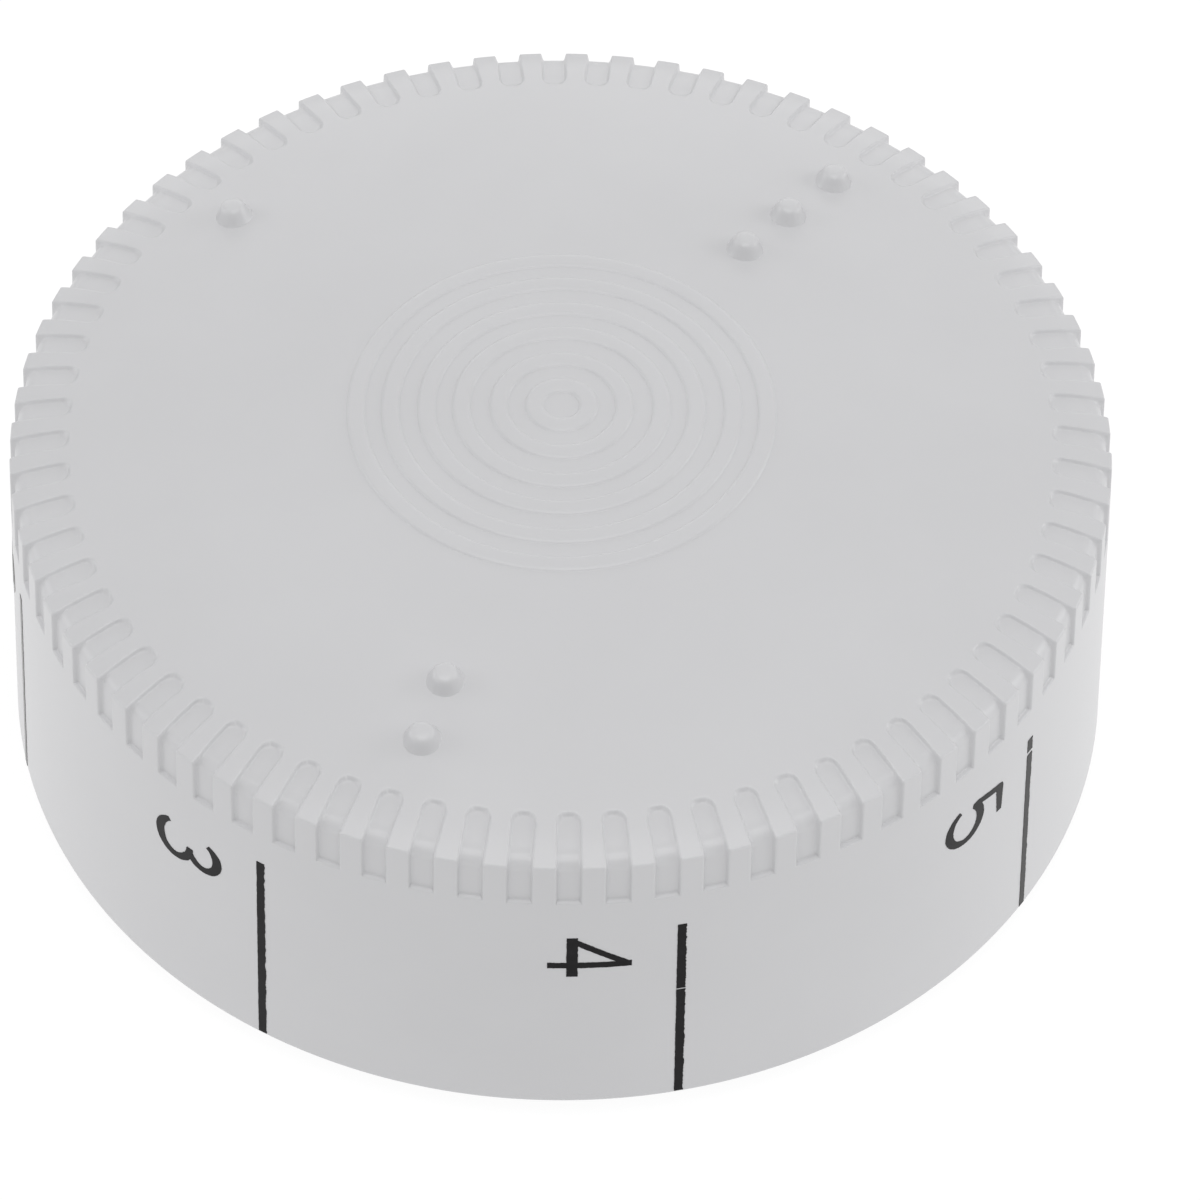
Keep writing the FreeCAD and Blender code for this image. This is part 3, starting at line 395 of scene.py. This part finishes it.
# ---------------------------------------------------------------- materials
def material(name, colour, rough, metal=0.0, grain=9000.0, bump=0.02, vary=0.03, rough_vary=0.06,
             stretch=(1, 1, 1), distance=0.00005, coat=0.0, mottle=140.0, specular=0.5):
    mat = bpy.data.materials.new(name)
    mat.use_nodes = True
    nt = mat.node_tree
    nodes, links = nt.nodes, nt.links
    bsdf = nodes["Principled BSDF"]
    bsdf.inputs["Metallic"].default_value = metal
    bsdf.inputs["Coat Weight"].default_value = coat
    bsdf.inputs["Specular IOR Level"].default_value = specular
    coord = nodes.new("ShaderNodeTexCoord")
    mapping = nodes.new("ShaderNodeMapping")
    mapping.inputs["Scale"].default_value = stretch
    links.new(coord.outputs["Object"], mapping.inputs["Vector"])
    fine = nodes.new("ShaderNodeTexNoise")
    fine.inputs["Scale"].default_value = grain
    fine.inputs["Detail"].default_value = 3.0
    fine.inputs["Roughness"].default_value = 0.6
    links.new(mapping.outputs["Vector"], fine.inputs["Vector"])
    broad = nodes.new("ShaderNodeTexNoise")
    broad.inputs["Scale"].default_value = mottle
    broad.inputs["Detail"].default_value = 4.0
    links.new(coord.outputs["Object"], broad.inputs["Vector"])
    # colour: a broad, faint mottling over the base colour
    ramp = nodes.new("ShaderNodeValToRGB")
    lo = [max(0.0, c * (1 - vary)) for c in colour] + [1]
    hi = [min(1.0, c * (1 + vary)) for c in colour] + [1]
    ramp.color_ramp.elements[0].position, ramp.color_ramp.elements[0].color = 0.3, lo
    ramp.color_ramp.elements[1].position, ramp.color_ramp.elements[1].color = 0.7, hi
    links.new(broad.outputs["Fac"], ramp.inputs["Fac"])
    links.new(ramp.outputs["Color"], bsdf.inputs["Base Color"])
    rng = nodes.new("ShaderNodeMapRange")
    rng.inputs["To Min"].default_value = rough - rough_vary
    rng.inputs["To Max"].default_value = rough + rough_vary
    links.new(broad.outputs["Fac"], rng.inputs["Value"])
    links.new(rng.outputs["Result"], bsdf.inputs["Roughness"])
    bmp = nodes.new("ShaderNodeBump")
    bmp.inputs["Strength"].default_value = bump
    bmp.inputs["Distance"].default_value = distance
    links.new(fine.outputs["Fac"], bmp.inputs["Height"])
    links.new(bmp.outputs["Normal"], bsdf.inputs["Normal"])
    return mat


CAP = (0.60, 0.60, 0.612)
M = {
    "cap_plastic": material("moulded_cap_plastic", CAP, 0.30, grain=7000, bump=0.25, vary=0.012, rough_vary=0.03, distance=0.00002, mottle=90, specular=0.45),
    "scale_ink": material("printed_ink", (0.0045, 0.004, 0.005), 0.17, grain=5200, bump=0.15, vary=0.45, rough_vary=0.04, distance=0.00002, mottle=1500, specular=0.12),
    "base_plastic": material("moulded_base_plastic", (0.52, 0.52, 0.53), 0.6, grain=5000, bump=0.4, vary=0.02, distance=0.00003, mottle=120),
    "foot_rubber": material("foot_rubber", (0.035, 0.035, 0.036), 0.8, grain=3500, bump=0.6, vary=0.15, distance=0.00005, mottle=300),
    "screw_steel": material("zinc_plated_steel", (0.60, 0.59, 0.56), 0.35, 1.0, grain=2600, bump=0.3, vary=0.08, distance=0.00002, mottle=500),
    "plate_steel": material("rolled_plate_steel", (0.58, 0.58, 0.58), 0.38, 1.0, grain=1800, bump=0.35, vary=0.05, stretch=(1, 12, 1), distance=0.00002),
    "arbor_steel": material("turned_steel", (0.52, 0.52, 0.54), 0.28, 1.0, grain=2500, bump=0.4, vary=0.05, stretch=(1, 1, 10), distance=0.00001),
    "spring_steel": material("blued_spring_steel", (0.12, 0.14, 0.22), 0.3, 1.0, grain=2500, bump=0.2, vary=0.25, distance=0.00001, mottle=260),
    "lever_steel": material("stamped_steel", (0.55, 0.55, 0.55), 0.42, 1.0, grain=2200, bump=0.4, vary=0.08, distance=0.00002),
    "bell_steel": material("plated_bell", (0.72, 0.72, 0.74), 0.18, 1.0, grain=900, bump=0.1, vary=0.03, distance=0.00001),
    "wheel_brass": material("stamped_brass", (0.72, 0.53, 0.24), 0.32, 1.0, grain=2400, bump=0.4, vary=0.08, stretch=(8, 1, 1), distance=0.00002, mottle=400),
}
for sub in frame["record"]["subparts"]:
    obj = frame["nodes"][sub["node"]]
    mat = M[sub["material_slot"]]
    if obj.material_slots:
        for s in obj.material_slots:
            s.material = mat
    else:
        obj.data.materials.append(mat)
for obj, name in ((cap, "cap_plastic"), (dots, "cap_plastic"), (ink, "scale_ink")):
    obj.data.materials.append(M[name])
    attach(obj, "dial")
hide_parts("dial_cap")
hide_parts("scale_marks")

# ---------------------------------------------------------------- floor, light, camera
floor_verts, floor_faces = [], []
for x, y in ((-3, -3), (3, -3), (3, 3), (-3, 3)):
    floor_verts.append((x, y, -0.0002))
floor_obj = make_object("floor", floor_verts, [(0, 1, 2, 3)], False)
fm = bpy.data.materials.new("pale_floor")
fm.use_nodes = True
fb = fm.node_tree.nodes["Principled BSDF"]
fb.inputs["Base Color"].default_value = (0.12, 0.12, 0.12, 1)
fb.inputs["Roughness"].default_value = 0.9
fb.inputs["Specular IOR Level"].default_value = 0.0
fb.inputs["Emission Color"].default_value = (1, 1, 1, 1)
fb.inputs["Emission Strength"].default_value = 0.91
floor_obj.data.materials.append(fm)


def area(name, loc, target, size, energy, size_y=None):
    light = bpy.data.lights.new(name, "AREA")
    light.shape = "RECTANGLE"
    light.size, light.size_y = size, size_y or size
    light.energy = energy
    obj = bpy.data.objects.new(name, light)
    bpy.context.scene.collection.objects.link(obj)
    obj.location = loc
    obj.rotation_mode = "QUATERNION"
    obj.rotation_quaternion = (Vector(target) - Vector(loc)).to_track_quat("-Z", "Y")
    return obj


AZ, EL, DIST, LENS = -13.1, 49.1, 18 * 37.6 * MM, 9612.0 / 1200 * 36
a_, e_ = math.radians(AZ), math.radians(EL)
side_x, side_y = math.cos(a_), math.sin(a_)       # the picture's right, on the floor
fx, fy = -side_y, side_x                            # away from the camera, on the floor
area("soft_top", (-0.22 * fx, -0.22 * fy, 0.87), (0, 0, 0), 0.8, 3.7)
area("soft_back", (0.85 * fx, 0.85 * fy, 0.33), (0, 0, 0.02), 0.9, 0.9, 0.16)
area("soft_left", (-0.8 * side_x + 0.1 * fx, -0.8 * side_y + 0.1 * fy, 0.3), (0, 0, 0.01), 0.6, 1.1, 0.4)
area("soft_right", (0.8 * side_x + 0.1 * fx, 0.8 * side_y + 0.1 * fy, 0.3), (0, 0, 0.01), 0.6, 1.6, 0.4)
world = bpy.data.worlds.new("studio")
bpy.context.scene.world = world
world.use_nodes = True
world.node_tree.nodes["Background"].inputs["Color"].default_value = (1, 1, 1, 1)
world.node_tree.nodes["Background"].inputs["Strength"].default_value = 0.50
bpy.context.scene.view_settings.view_transform = "Standard"

cam_data = bpy.data.cameras.new("camera")
cam_data.sensor_width = 36
cam_data.lens = LENS
cam_data.clip_start, cam_data.clip_end = 0.05, 10
cam = bpy.data.objects.new("camera", cam_data)
bpy.context.scene.collection.objects.link(cam)
bpy.context.scene.camera = cam
target = Vector((0, 0, 1.5 * MM))
back = Vector((math.sin(a_) * math.cos(e_), -math.cos(a_) * math.cos(e_), math.sin(e_)))
cam.location = target + back * DIST
fwd = -back
right = fwd.cross(Vector((0, 0, 1))).normalized()
up = right.cross(fwd)
roll = math.radians(0.72)
right_r = right * math.cos(roll) + up * math.sin(roll)
up_r = up * math.cos(roll) - right * math.sin(roll)
# the rim plane's centre lands left of and below the middle of the picture
off_x, off_y = (558.2 - 600) / 9612.0, (600 - 677.8) / 9612.0
look = (fwd - right_r * off_x - up_r * off_y).normalized()
right_c = (right_r - look * right_r.dot(look)).normalized()
up_c = right_c.cross(look)
cam.matrix_world = Matrix((
    (right_c.x, up_c.x, -look.x, cam.location.x),
    (right_c.y, up_c.y, -look.y, cam.location.y),
    (right_c.z, up_c.z, -look.z, cam.location.z),
    (0, 0, 0, 1)))
